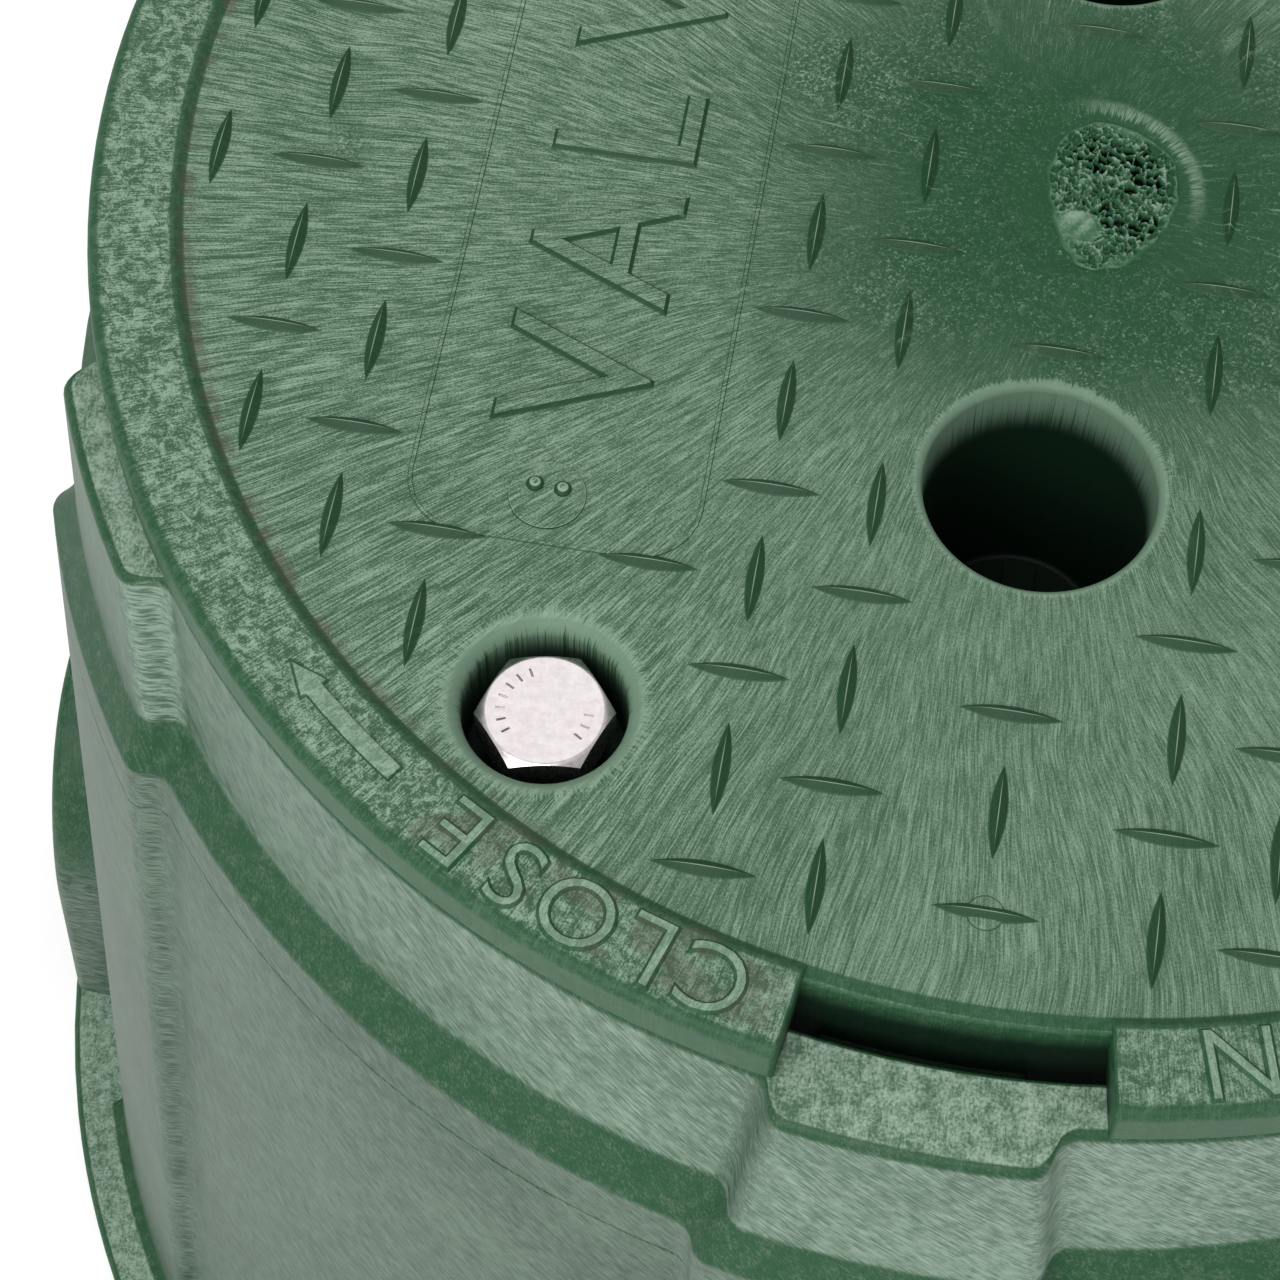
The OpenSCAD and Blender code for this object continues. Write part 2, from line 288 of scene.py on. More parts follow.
def joined(name, pieces):
    bpy.ops.object.select_all(action="DESELECT")
    for piece in pieces:
        piece.select_set(True)
    bpy.context.view_layer.objects.active = pieces[0]
    if len(pieces) > 1:
        bpy.ops.object.join()
    return added(name)


def modified(piece, kind, **settings):
    only(piece)
    modifier = piece.modifiers.new(kind.lower(), kind)
    for key, value in settings.items():
        setattr(modifier, key, value)
    bpy.ops.object.modifier_apply(modifier=modifier.name)
    return piece


def combined(piece, operation, tool, **settings):
    """One boolean, with the tool used up."""
    modified(piece, "BOOLEAN", operation=operation, object=tool, solver="EXACT", **settings)
    bpy.data.objects.remove(tool, do_unlink=True)
    return piece


def welded(piece, distance=0.002):
    """Closes a spun or joined mesh and points its faces outwards."""
    with Editing(piece, whole=True):
        bpy.ops.mesh.remove_doubles(threshold=distance * MM)
        bpy.ops.mesh.normals_make_consistent(inside=False)
    return piece


def smoothed(piece, degrees=35.0):
    only(piece)
    bpy.ops.object.shade_smooth_by_angle(angle=math.radians(degrees))
    return modified(piece, "WEIGHTED_NORMAL", keep_sharp=True, weight=60)


def rounded_path(corners, segments=5):
    """A path of (r, z) through corners given as (r, z) or (r, z, radius)."""
    path = []
    last = len(corners) - 1
    for i, corner in enumerate(corners):
        here = Vector(corner[:2])
        radius = corner[2] if len(corner) > 2 else 0.0
        if not radius or i in (0, last):
            path.append(here)
            continue
        back = (Vector(corners[i - 1][:2]) - here).normalized()
        ahead = (Vector(corners[i + 1][:2]) - here).normalized()
        half = back.angle(ahead) / 2
        reach = radius / math.tan(half)
        middle = here + (back + ahead).normalized() * (radius / math.sin(half))
        start = here + back * reach - middle
        sweep = start.angle_signed(here + ahead * reach - middle)
        for k in range(segments + 1):
            arm = start.copy()
            arm.rotate(Matrix.Rotation(-sweep * k / segments, 2))
            path.append(middle + arm)
    return [(p.x, p.y) for p in path]


def outline(name, points, filled=False):
    """A line of vertices, drawn by extruding one point after another, in mm."""
    bpy.ops.object.select_all(action="DESELECT")
    bpy.ops.mesh.primitive_plane_add(size=MM, location=(0, 0, 0))
    piece = added(name)
    with Editing(piece, whole=True):
        bpy.ops.mesh.merge(type="CENTER")
        bpy.ops.transform.translate(value=Vector(points[0]) * MM)
        for here, there in zip(points, points[1:]):
            step = (Vector(there) - Vector(here)) * MM
            extrude(step)
        if filled:
            bpy.ops.mesh.select_all(action="SELECT")
            bpy.ops.mesh.edge_face_add()
    return piece


def turned(name, path, steps, start=0.0, sweep=360.0, filled=False):
    """A path of (r, z) spun about Z, from the angle start, counter-clockwise."""
    piece = outline(name, [(r, 0, z) for r, z in path], filled)
    with Editing(piece, whole=True):
        bpy.ops.mesh.spin(steps=steps, angle=-math.radians(sweep), center=(0, 0, 0), axis=(0, 0, 1))
    welded(piece)
    return turn(piece, start) if start else piece


def extruded(name, points, depth):
    """A closed flat outline pushed out by a vector, in mm."""
    piece = outline(name, points, filled=True)
    with Editing(piece, whole=True):
        extrude(Vector(depth) * MM)
    return welded(piece)


def block(name, size, place):
    bpy.ops.object.select_all(action="DESELECT")
    bpy.ops.mesh.primitive_cube_add(size=MM, location=Vector(place) * MM, scale=size)
    return settle(added(name))


def rod(name, radius, length, place, sides=64, top_radius=None):
    """A round bar or cone that stands on the place given."""
    bpy.ops.object.select_all(action="DESELECT")
    middle = Vector(place) + Vector((0, 0, length / 2))
    bpy.ops.mesh.primitive_cone_add(
        vertices=sides, radius1=radius * MM, radius2=(top_radius or radius) * MM, depth=length * MM,
        location=middle * MM)
    return settle(added(name))


# The box

STATION = 2.5  # the sector is spun with a row of vertices at this angle
FACE_STATIONS = 4  # rows on half of a column's face
SECTOR_STATIONS = 12
COLUMN_ROUND = 1.8
COLUMN_FLARE = 1.2  # a column's foot is this much wider than its face, at each side
FOOT_LEVELS = 14  # the outline's lowest points, where a column's edges stay sharp
RIM_LEVELS = 7  # and its points at the rim


def column_half_width(z):
    """Half the width of a column at a height."""
    rim, top, foot = PANEL_Z - RIM_DROP, PANEL_Z - LEDGE_TOP, PANEL_Z - LEDGE_FOOT
    if z >= top:
        return LEDGE_HALF - COLUMN_TAPER * (z - top) / (rim - top)
    return WALL_HALF - COLUMN_STEP * max(0.0, z - foot) / (top - foot)


def outer_corners(upper, lower):
    """The outside from the base to the rim, between columns or on them, with its roundings."""
    seam = PANEL_Z - SEAM_DEPTH
    base = PANEL_Z - FLANGE_T
    return [
        (FLANGE_R - 1, 0), (FLANGE_R, 0, 0.8), (FLANGE_R - 0.2, FLANGE_T, 1.6), (lower(base), FLANGE_T, 3.0),
        (lower(SEAM_DEPTH + SEAM_HALF), seam - SEAM_HALF), (lower(SEAM_DEPTH) - SEAM_CUT, seam),
        (lower(SEAM_DEPTH - SEAM_HALF), seam + SEAM_HALF),
        (lower(LEDGE_FOOT), PANEL_Z - LEDGE_FOOT, 2.2), (upper(LEDGE_TOP), PANEL_Z - LEDGE_TOP, 2.2),
        (upper(RIM_DROP), PANEL_Z - RIM_DROP, 1.7), (MOUTH_R, PANEL_Z - RIM_DROP, 0.8)]


def inner_corners(upper, lower, step):
    """The inside from the mouth down, with the step over a column's hollow."""
    roof = PANEL_Z - HOLLOW_TOP
    return [
        (MOUTH_R, roof), (step, roof - 0.4), (upper, PANEL_Z - INNER_LEDGE_TOP),
        (lower(INNER_LEDGE_FOOT) - WALL_T, PANEL_Z - INNER_LEDGE_FOOT), (lower(PANEL_Z) - WALL_T, 0),
        (FLANGE_R - 1, 0)]


def box_sector():
    """A sixth of the box: a sector is spun, and its middle is drawn out to make a column."""
    wall = rounded_path(outer_corners(neck_r, wall_r) + inner_corners(MOUTH_R, wall_r, MOUTH_R))
    face = rounded_path(outer_corners(neck_face_r, wall_face_r) + inner_corners(
        neck_face_r(INNER_LEDGE_TOP) - WALL_T, wall_face_r, neck_face_r(HOLLOW_TOP) - WALL_T))
    hollow = len(rounded_path(outer_corners(neck_r, wall_r) + [(MOUTH_R, 0)]))
    piece = turned("box_sector", wall, 2 * SECTOR_STATIONS, sweep=2 * STATION * SECTOR_STATIONS)
    turn(piece, -STATION * SECTOR_STATIONS)
    levels = [Vector(point) for point in wall[:-1]]
    rows = {}
    for vertex in piece.data.vertices:
        place = vertex.co / MM
        here = Vector((place.xy.length, place.z))
        i = min(range(len(levels)), key=lambda n: (levels[n] - here).length)
        k = round(math.degrees(math.atan2(place.y, place.x)) / STATION)
        rows[vertex.index] = (i, k)
        vertex.co = station_place(wall[i], face[i], k, i >= hollow) * MM
    with Editing(piece, "EDGE"):
        shape = bmesh.from_edit_mesh(piece.data)
        for edge in shape.edges:
            (i1, k1), (i2, k2) = (rows[v.index] for v in edge.verts)
            upright = k1 == k2 and abs(k1) in (FACE_STATIONS, FACE_STATIONS + 1)
            outside = FOOT_LEVELS < min(i1, i2) and max(i1, i2) < hollow - RIM_LEVELS
            edge.select_set(upright and outside)
        bmesh.update_edit_mesh(piece.data)
        round_edges(COLUMN_ROUND, 4)
    return piece


def station_place(wall, face, k, inside):
    """Where a row's vertex goes: on a column's face, at its foot, or on the wall beside it."""
    radius, z = face if abs(k) <= FACE_STATIONS else wall
    half = column_half_width(z) - (WALL_T if inside else 0.0)
    if abs(k) <= FACE_STATIONS:
        y = half * k / FACE_STATIONS
        return Vector((math.sqrt(radius ** 2 - y ** 2), y, z))
    foot = math.asin((half + COLUMN_FLARE) / radius)
    share = (abs(k) - FACE_STATIONS - 1) / (SECTOR_STATIONS - FACE_STATIONS - 1)
    angle = math.copysign(foot + (math.radians(180 / COLUMNS) - foot) * share, k)
    return Vector((radius * math.cos(angle), radius * math.sin(angle), z))


def hood():
    """The arch over a pipe slot: an edge spun over the top, run down to the base and drawn inwards."""
    piece = outline("hood", [(0, SLOT_R, SLOT_Z), (0, SLOT_R + HOOD_T, SLOT_Z)])
    with Editing(piece, whole=True) as edit:
        bpy.ops.mesh.spin(steps=36, angle=-math.pi, center=(0, 0, SLOT_Z * MM), axis=(1, 0, 0))
        edit.pick(lambda p: abs(p.z - SLOT_Z) < 0.01)
        extrude((0, 0, -SLOT_Z * MM))
        bpy.ops.mesh.select_all(action="SELECT")
        extrude((HOOD_DRAW * MM, 0, 0))
    welded(piece)
    for vertex in piece.data.vertices:
        y, z = vertex.co.y / MM, vertex.co.z / MM
        outer = hood_face_r(z)
        inner = wall_r(PANEL_Z - z) - WALL_T + 1.0
        radius = outer if vertex.co.x > HOOD_DRAW / 2 * MM else inner
        vertex.co.x = math.sqrt(radius ** 2 - y ** 2) * MM
    with Editing(piece, "EDGE") as edit:
        for radius, rounding in ((SLOT_R + HOOD_T, 1.8), (SLOT_R, 0.6)):
            edit.pick(lambda p: abs(p.xy.length - hood_face_r(p.z)) < 0.2 and p.z > 1
                      and abs(hood_radius(p) - radius) < 0.05)
            round_edges(rounding, 4)
    return piece


def hood_face_r(z):
    return HOOD_FOOT_R - HOOD_LEAN * z


def hood_radius(p):
    """Distance from the slot's axis, or from its middle plane under the arch."""
    return math.hypot(p.y, max(p.z - SLOT_Z, 0.0))


def slot_cutter():
    """Opens the wall behind a hood."""
    r, near, foot = SLOT_R + 2, 100, -5
    arch = [(near, r * math.cos(a), SLOT_Z + r * math.sin(a)) for a in (math.pi * k / 32 for k in range(33))]
    return extruded("slot_cutter", [(near, r, foot)] + arch + [(near, -r, foot)], (80, 0, 0))


def lug_channel(az):
    """Cutters for the channel that a lug turns in and for the gap in the lip above it."""
    side = LUG_HALF + LUG_PLAY
    low, roof = PANEL_Z - CHANNEL_FOOT, PANEL_Z - CHANNEL_TOP
    near, far = CHANNEL_CUT_R, CHANNEL_R
    channel = turned("channel", [(near, low), (far, low), (far, roof), (near, roof)], 20,
                     start=az - side, sweep=LOCK_TURN + 2 * side, filled=True)
    near, far, low = near + 0.5, far - 0.2, roof - 2
    gap = turned("gap", [(near, low), (far, low), (far, PANEL_Z), (near, PANEL_Z)], 8,
                 start=az + LOCK_TURN - side + 0.1, sweep=2 * side - 0.2, filled=True)
    return [channel, gap]


def lock_shelf():
    """The bracket inside the box that the lock bolt's tip drops into."""
    top, inner, reach = PANEL_Z - SHELF_TOP, SHELF_INNER_R, wall_r(50) - 3
    foot = top - SHELF_T
    plate = block("lock_shelf", (reach - inner, 2 * SHELF_HALF, SHELF_T),
                  ((reach + inner) / 2, 0, top - SHELF_T / 2))
    modified(plate, "BEVEL", width=1.2 * MM, segments=3)
    for y in (-SHELF_HALF, SHELF_HALF - GUSSET_T):
        gusset = extruded("gusset", [
            (inner + 4, y, foot + 1), (reach + 1.5, y, foot - GUSSET_DROP),
            (reach, y, top - 1), (inner + 4, y, top - 1)], (0, GUSSET_T, 0))
        combined(plate, "UNION", gusset)
    bolt_r = math.hypot(BOLT_X, BOLT_Y)
    combined(plate, "DIFFERENCE", rod("hole", SHELF_HOLE_R, SHELF_T + 2, (bolt_r, 0, foot - 1)))
    return turn(plate, math.degrees(math.atan2(BOLT_Y, BOLT_X)))


def box_shell():
    sector = box_sector()
    sectors = [turn(copied(sector, "sector"), COLUMN_AZ + k * 360 / COLUMNS) for k in range(COLUMNS)]
    bpy.data.objects.remove(sector, do_unlink=True)
    shell = welded(joined("box_shell", sectors), 0.02)
    for side in HOOD_SIDES:
        combined(shell, "DIFFERENCE", turn(slot_cutter(), COLUMN_AZ + side))
        combined(shell, "UNION", turn(hood(), COLUMN_AZ + side))
    for k in range(LUGS):
        for cutter in lug_channel(COLUMN_AZ + k * 360 / LUGS):
            combined(shell, "DIFFERENCE", cutter)
    combined(shell, "UNION", lock_shelf())
    return smoothed(shell)


# The cover


def cover_disc():
    """Panel and skirt, spun in one."""
    inner = SKIRT_R - SKIRT_T
    path = rounded_path([
        (0, 0), (SKIRT_R, 0, 0.6), (SKIRT_R, -SKIRT_DEPTH, 0.8), (inner + 0.5, -SKIRT_DEPTH, 0.8),
        (inner, -PANEL_T, 1.5), (0, -PANEL_T)], 4)
    return turned("cover", path, 180)


def cover_ring():
    """The raised ring, open at the pry notch, with its two ends rounded."""
    start = NOTCH_AZ + NOTCH_SPAN / 2
    corners = [
        (RING_SEAT_R, -RING_SINK), (RING_SEAT_R, 0.01), (PANEL_R, 0.01, 0.9), (PANEL_R + 1.1, RING_RISE, 0.9),
        (COVER_R, RING_RISE, RING_EDGE), (COVER_R, -RING_DROP, 0.4), (RING_SKIRT_R, -RING_DROP),
        (RING_SKIRT_R, -RING_SINK)]
    ring = turned("ring", rounded_path(corners, 6), 172, start=start, sweep=360 - NOTCH_SPAN, filled=True)
    ends = [math.radians(start), math.radians(start - NOTCH_SPAN)]
    with Editing(ring, "EDGE") as edit:
        edit.pick(lambda p: p.xy.length > PANEL_R + 0.3 and p.z > 0.1 - RING_DROP and any(
            abs(p.x * math.sin(a) - p.y * math.cos(a)) < 0.02 and p.x * math.cos(a) + p.y * math.sin(a) > 0
            for a in ends))
        round_edges(RING_END, 3)
    return ring


def well_cutter():
    path = rounded_path([
        (0, CUTTER_TOP), (WELL_R + 3, CUTTER_TOP), (WELL_R + 3, 0), (WELL_R, 0, 1.3),
        (WELL_FLOOR_R, -WELL_DEPTH, 0.8), (0, -WELL_DEPTH)], 7)
    return turned("well_cutter", path, 96)


def recess_cutter():
    """The recess for the head and the hole for the shank, down into the insert's bore."""
    path = rounded_path([
        (0, CUTTER_TOP), (12.6, CUTTER_TOP), (12.9, 0), (RECESS_R, 0, 2.4),
        (RECESS_FLOOR_R, -RECESS_DEPTH, 0.4), (BOLT_HOLE_R, -RECESS_DEPTH), (BOLT_HOLE_R, -16), (0, -16)], 7)
    return turned("recess_cutter", path, 72)


def gate_cutter():
    """The smooth dimple round the gate."""
    path = rounded_path([
        (0, CUTTER_TOP), (17, CUTTER_TOP), (17, 0), (GATE_R + 0.1, 0, 6), (11.6, -0.5, 3),
        (0, -GATE_DEPTH)], 6)
    return turned("gate_cutter", path, 96)


def foam_pit():
    """The hollow that the torn foam stands in."""
    pit = rod("foam_pit", 1, 4, (0, 0, -3.2), sides=48)
    pit.scale = (FOAM_HALF[0] - 1.2, FOAM_HALF[1] - 1.4, 1)
    return shift(settle(pit), *FOAM_PLACE)


def underside():
    """Ribs, hub, rib ring, well walls and the bolt's boss, each a piece of its own."""
    parts = []
    side = RIB_T / 2
    for k in range(RIBS):
        rib = extruded("rib", [
            (14, -side, -RIB_ROOT), (14, -side, -HUB_FOOT), (SKIRT_R - 1, -side, -15),
            (SKIRT_R - 1, -side, -RIB_ROOT)], (0, RIB_T, 0))
        parts.append(turn(rib, (k + 0.5) * 360 / RIBS))
    parts.append(rod("hub", HUB_R, HUB_FOOT - RIB_ROOT, (0, 0, -HUB_FOOT)))
    near, far, foot = RIB_RING_R, RIB_RING_R + RIB_T, -RIB_RING_FOOT
    parts.append(turned("rib_ring", [
        (near, foot), (far, foot), (far, -RIB_ROOT), (near, -RIB_ROOT), (near, foot)], 120))
    for y in (-WELL_Y, WELL_Y):
        parts.append(rod("well_wall", WELL_FLOOR_R + 2.7, WELL_DEPTH + 2, (0, y, -WELL_DEPTH - 3),
                         top_radius=WELL_R + 3))
    parts.append(rod("boss", BOSS_R, BOSS_FOOT - 1, (BOLT_X, BOLT_Y, -BOSS_FOOT)))
    return parts


def lug(az):
    """One of the lugs outside the skirt."""
    root = SKIRT_R - 2
    piece = turned("lug", [(root, -LUG_FOOT), (LUG_R, -LUG_FOOT), (LUG_R, -LUG_TOP), (root, -LUG_TOP)], 6,
                   start=az - LUG_HALF, sweep=2 * LUG_HALF, filled=True)
    return modified(piece, "BEVEL", width=0.6 * MM, segments=2)


def cover():
    """The whole cover, with its raised detail joined on."""
    shell = cover_disc()
    combined(shell, "UNION", cover_ring())
    for part in underside():
        combined(shell, "UNION", part)
    for k in range(LUGS):
        combined(shell, "UNION", lug(COLUMN_AZ + k * 360 / LUGS))
    for y in (-WELL_Y, WELL_Y):
        combined(shell, "DIFFERENCE", shift(well_cutter(), y=y))
        combined(shell, "UNION", block("well_bar", WELL_BAR, (0.2, y + 5.3, -WELL_DEPTH + 0.5)))
    combined(shell, "DIFFERENCE", shift(recess_cutter(), BOLT_X, BOLT_Y))
    combined(shell, "DIFFERENCE", rod("bore", INSERT_R, 14, (BOLT_X, BOLT_Y, -30)))
    combined(shell, "DIFFERENCE", shift(gate_cutter(), GATE_X))
    combined(shell, "DIFFERENCE", foam_pit())
    shift(shell, z=PANEL_Z)
    return joined("cover", [shell, *tread(), *plate(), *ring_lettering()])


# Raised detail


def placed(piece, name, x, y, z, degrees=0.0):
    """A copy of a piece with a mesh of its own, turned and then moved, in mm."""
    copy = piece.copy()
    copy.data = piece.data.copy()
    copy.name = copy.data.name = name
    turned_about_z = Matrix.Rotation(math.radians(degrees), 4, "Z")
    copy.data.transform(Matrix.Translation(Vector((x, y, z)) * MM) @ turned_about_z)
    bpy.context.scene.collection.objects.link(copy)
    return copy


def tread_bar():
    """One bar along X: a grid drawn out to a leaf with a sharp ridge, and closed below."""
    bpy.ops.object.select_all(action="DESELECT")
    bpy.ops.mesh.primitive_grid_add(x_subdivisions=10, y_subdivisions=4, size=2, location=(0, 0, 0))
    bar = added("tread_bar")
    for vertex in bar.data.vertices:
        u, v = vertex.co.xy
        fullness = 1 - u ** 2
        at_edge, at_ridge = abs(v) > 0.9, abs(v) < 0.1
        across = 0.0 if at_ridge else math.copysign(1.0 if at_edge else 0.14, v)
        rise = 0.0 if at_edge else TREAD_H * (fullness ** 0.7) * (1.0 if at_ridge else 0.93)
        vertex.co = Vector((u * TREAD_LEN / 2, across * fullness * TREAD_W / 2, rise)) * MM
    welded(bar)
    with Editing(bar, whole=True):
        extrude((0, 0, -0.6 * MM))
    return welded(bar)


def tread_x(k):
    return math.copysign(abs(k) + 0.5, k) * TREAD_PITCH if k else 0.0


def tread_spots():
    """Places of the bars, which lie along X and along Y in turn, clear of everything else on the panel."""
    half = TREAD_LEN / 2
    clear = [((0, WELL_Y), WELL_R + 2), ((0, -WELL_Y), WELL_R + 2), ((GATE_X, 0), GATE_R + 1.5),
             ((BOLT_X, BOLT_Y), 12.5), (MARK, MARK_R + 2)]
    for k in range(-TREAD_ROWS, TREAD_ROWS + 1):
        for j in range(-TREAD_ROWS, TREAD_ROWS + 1):
            x, y = tread_x(k), j * TREAD_PITCH
            along_x = (abs(k) + j) % 2 == 0
            reach = (half, 0) if along_x else (0, half)
            if math.hypot(abs(x) + reach[0], abs(y) + reach[1]) > TREAD_LIMIT_R:
                continue
            if abs(x - PLATE_X) < PLATE_SIZE[0] / 2 and abs(y) < PLATE_SIZE[1] / 2 - 3:
                continue
            if all(math.hypot(max(abs(x - p[0]) - reach[0], 0), max(abs(y - p[1]) - reach[1], 0)) > gap
                   for p, gap in clear):
                yield x, y, 0 if along_x else 90


def tread():
    bar = tread_bar()
    bars = [placed(bar, "bar", x, y, PANEL_Z, degrees) for x, y, degrees in tread_spots()]
    bpy.data.objects.remove(bar, do_unlink=True)
    return bars


def letter(text, height, rise, slope):
    """One raised capital, centred, with its foot at Y = -height / 2 and sides that slope over a width."""
    bpy.ops.object.select_all(action="DESELECT")
    bpy.ops.object.text_add(location=(0, 0, 0))
    piece = bpy.context.object
    piece.data.body = text
    piece.data.size = height / CAP_HEIGHT * MM
    piece.data.resolution_u = 5
    piece.data.offset = -0.3 * slope * MM
    piece.data.extrude = LETTER_BODY * MM
    piece.data.bevel_depth = slope * MM
    piece.data.bevel_resolution = 0
    bpy.ops.object.convert(target="MESH")
    added("letter")
    for vertex in piece.data.vertices:
        over = max(vertex.co.z - LETTER_BODY * MM, 0)
        vertex.co.z = min(vertex.co.z, LETTER_BODY * MM) + over * rise / slope
    corners = [Vector(corner) / MM for corner in piece.bound_box]
    shift(piece, -(corners[0].x + corners[6].x) / 2, -height / 2, -LETTER_BODY)
    return welded(piece, 0.005)


def rounded_outline(size, r, inset):
    """Corners of a rounded rectangle, counter-clockwise, as points (x, y)."""
    points = []
    for k in range(4):
        for n in range(7):
            a = math.radians(90 * k + 15 * n)
            sx, sy = ((1, 1), (-1, 1), (-1, -1), (1, -1))[k]
            points.append((sx * (size[0] / 2 - r) + (r - inset) * math.cos(a),
                           sy * (size[1] / 2 - r) + (r - inset) * math.sin(a)))
    return points


def plate():
    """The plate's raised outline, its word, the round mark on it, and a moulding pin's mark beside it."""
    corners = rounded_outline(PLATE_SIZE, PLATE_CORNER, PLATE_LINE / 2)
    path = outline("plate_line", [(x, y, -0.4) for x, y in corners])
    with Editing(path, whole=True):
        bpy.ops.mesh.remove_doubles(threshold=0.01 * MM)
    tube = plate_tube(path)
    pieces = [shift(tube, PLATE_X, 0, PANEL_Z)]
    for k, text in enumerate(PLATE_WORD):
        piece = turn(letter(text, *PLATE_LETTER), 90)
        pieces.append(shift(piece, PLATE_X - 1, (k - 2) * PLATE_LETTER_STEP, PANEL_Z))
    mark = rod("mark", MARK_R, 0.8, (*MARK, PANEL_Z - 0.5), 40)
    modified(mark, "BEVEL", width=0.25 * MM, segments=2, limit_method="ANGLE")
    pieces.append(mark)
    for dx, dy in MARK_BUMPS:
        pieces.append(knob("bump", 1.1, (MARK[0] + dx, MARK[1] + dy, PANEL_Z + 0.2), 0.8))
    pieces.append(knob("pin_mark", 2.2, (0, -TREAD_ROWS * TREAD_PITCH, PANEL_Z + 0.02), 0.28))
    return pieces


def plate_tube(path):
    """A raised line made by sweeping a small section along a path."""
    only(path)
    bpy.ops.object.convert(target="CURVE")
    path.data.splines[0].use_cyclic_u = True
    path.data.bevel_depth = 0.42 * MM
    path.data.bevel_resolution = 1
    bpy.ops.object.convert(target="MESH")
    tube = added("plate_line")
    for vertex in tube.data.vertices:
        vertex.co.z = vertex.co.z * 0.8 + 0.17 * MM
    return tube


def knob(name, radius, place, rise):
    """A low dome."""
    bpy.ops.object.select_all(action="DESELECT")
    bpy.ops.mesh.primitive_uv_sphere_add(
        segments=20, ring_count=10, radius=radius * MM, location=Vector(place) * MM,
        scale=(1, 1, rise / radius))
    return settle(added(name))


def ring_lettering():
    """The words and arrows on the ring, read clockwise with their tops outward."""
    top = PANEL_Z + RING_RISE
    pieces = []
    for word, first, step in RING_WORDS:
        for k, text in enumerate(word):
            az = first + k * step
            pieces.append(shift(turn(letter(text, *RING_LETTER), az - 90), *polar(RING_LETTER_R, az, top)))
    for tail, tip in RING_ARROWS:
        pieces.append(ring_arrow(tail, tip, top))
    return pieces


def ring_arrow(tail, tip, top):
    """A raised arrow that follows the ring."""
    neck = tip + math.copysign(BARB_SPAN, tail - tip)
    bends = [tail + (neck - tail) * k / 6 for k in range(7)]
    side = [(ARROW_R + ARROW_HALF, az) for az in bends] + [(ARROW_R + BARB_HALF, neck), (ARROW_R + 0.1, tip)]
    other = [(ARROW_R - BARB_HALF, neck)] + [(ARROW_R - ARROW_HALF, az) for az in reversed(bends)]
    points = [polar(r, az, top - 0.6) for r, az in side + other]
    arrow = extruded("arrow", points, (0, 0, 0.6 + RING_DETAIL_RISE))
    with Editing(arrow, "EDGE") as edit:
        edit.pick(lambda p: p.z > top + RING_DETAIL_RISE - 0.01)
        round_edges(0.42, 2)
    return arrow


# The gate's torn foam


def gate_foam():
    """A dense grid torn into pores and strands, with a lip round it and a smooth flap at one side."""
    bpy.ops.object.select_all(action="DESELECT")
    bpy.ops.mesh.primitive_grid_add(x_subdivisions=190, y_subdivisions=230, size=2, location=(0, 0, 0))
    foam = added("gate_foam")
    noise.seed_set(FOAM_SEED)
    for vertex in foam.data.vertices:
        x, y = vertex.co.x * (FOAM_HALF[0] + 1.6), vertex.co.y * (FOAM_HALF[1] + 1.8)
        vertex.co = Vector((x, y, foam_height(x, y) - GATE_DEPTH)) * MM
    with Editing(foam, whole=True):
        extrude((0, 0, -1.2 * MM))
    welded(foam)
    return shift(foam, *FOAM_PLACE, PANEL_Z)


def foam_height(x, y):
    """Height of the torn foam over the dimple's floor, in mm."""
    angle = math.atan2(y / FOAM_HALF[1], x / FOAM_HALF[0])
    bulge = 1 + 0.06 * math.sin(3 * angle + 0.6) + 0.07 * noise.noise(Vector((x * 0.4, y * 0.4, 3.1)))
    share = math.hypot(x / FOAM_HALF[0], y / FOAM_HALF[1]) / bulge
    past = (share - 1) * FOAM_HALF[0]
    if past > 0:
        return 0.48 * math.exp(-past * 2.2) - 0.5 * min(1.0, past / 0.9) - 0.02
    here = Vector((x, y, 0.4))
    nearest = noise.voronoi(here * 0.74 + 0.5 * noise.noise_vector(here * 0.8))[0]
    wall = nearest[1] - nearest[0]
    opened = max(0.3, min(1.0, 0.80 + 1.9 * noise.noise(Vector((x * 0.24 + 5.3, y * 0.24, 7.7)))))
    pore = opened * min(1.0, max(0.0, wall - 0.09) / 0.26)
    ridges = 1 - min(1.0, abs(noise.noise(here * 0.95)) * 3.0)
    fuzz = noise.turbulence(here * 2.6, 3, False)
    height = 0.34 + 0.42 * ridges * (1 - pore) + 0.30 * fuzz - 1.6 * pore
    flap = max(0.0, 1 - math.hypot(x + 3.7, (y + 5.9) * 1.2) / 4.0)
    folds = 0.34 * noise.noise(Vector((x * 0.9 - y * 0.5, y * 0.35, 2.2)))
    height += (0.5 + folds - height) * min(1.0, 2.4 * flap)
    inner = min(1.0, -past / 0.8)
    return 0.46 + (height - 0.46) * inner


# The lock bolt


